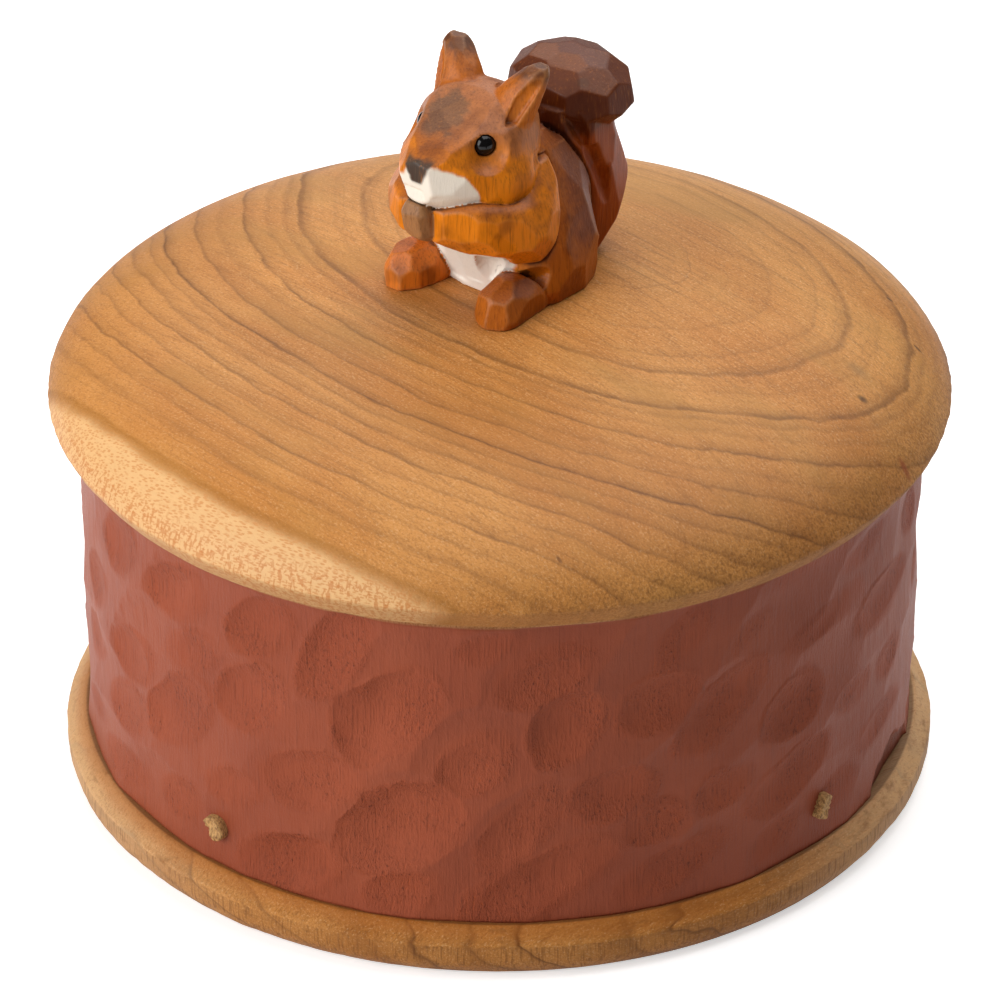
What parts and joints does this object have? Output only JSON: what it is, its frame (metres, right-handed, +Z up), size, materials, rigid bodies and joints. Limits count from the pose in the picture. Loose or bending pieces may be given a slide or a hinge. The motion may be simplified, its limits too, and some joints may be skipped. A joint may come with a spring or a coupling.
{
  "type": "carved wooden lidded box",
  "caption": "Round wooden keepsake box with a gouge-carved painted wall, a pegged base and a domed lift-off lid whose handle is a whittled squirrel holding a nut.",
  "frame": {"origin": "centre of the base's underside, on the surface that the box stands on", "axes": "+Z up, along the box's axis; -Y the way the squirrel looks; +X its left side"},
  "size_m": [0.1598, 0.1598, 0.1362],
  "materials": {
    "base_wood": "oiled, hand-cut rim",
    "wall_paint": "thin matt red-brown paint",
    "lid_wood": "oiled",
    "figure_wood": "stained and painted",
    "peg_wood": "cut, bare",
    "eye_bead": "polished",
    "screw_steel": "zinc plated"
  },
  "bodies": {
    "box": {"base": "base_wood", "wall": "wall_paint", "peg_front": "peg_wood", "peg_left": "peg_wood", "peg_rear": "peg_wood", "peg_right": "peg_wood"},
    "lid": {"lid": "lid_wood", "squirrel": "figure_wood", "eye_left": "eye_bead", "eye_right": "eye_bead", "squirrel_screw_front": "screw_steel", "squirrel_screw_rear": "screw_steel"}
  },
  "joints": [
    {"name": "lid_lift", "type": "slide", "parent": "box", "child": "lid", "axis": [0, 0, 1], "range_m": [0, 0.12]}
  ]
}
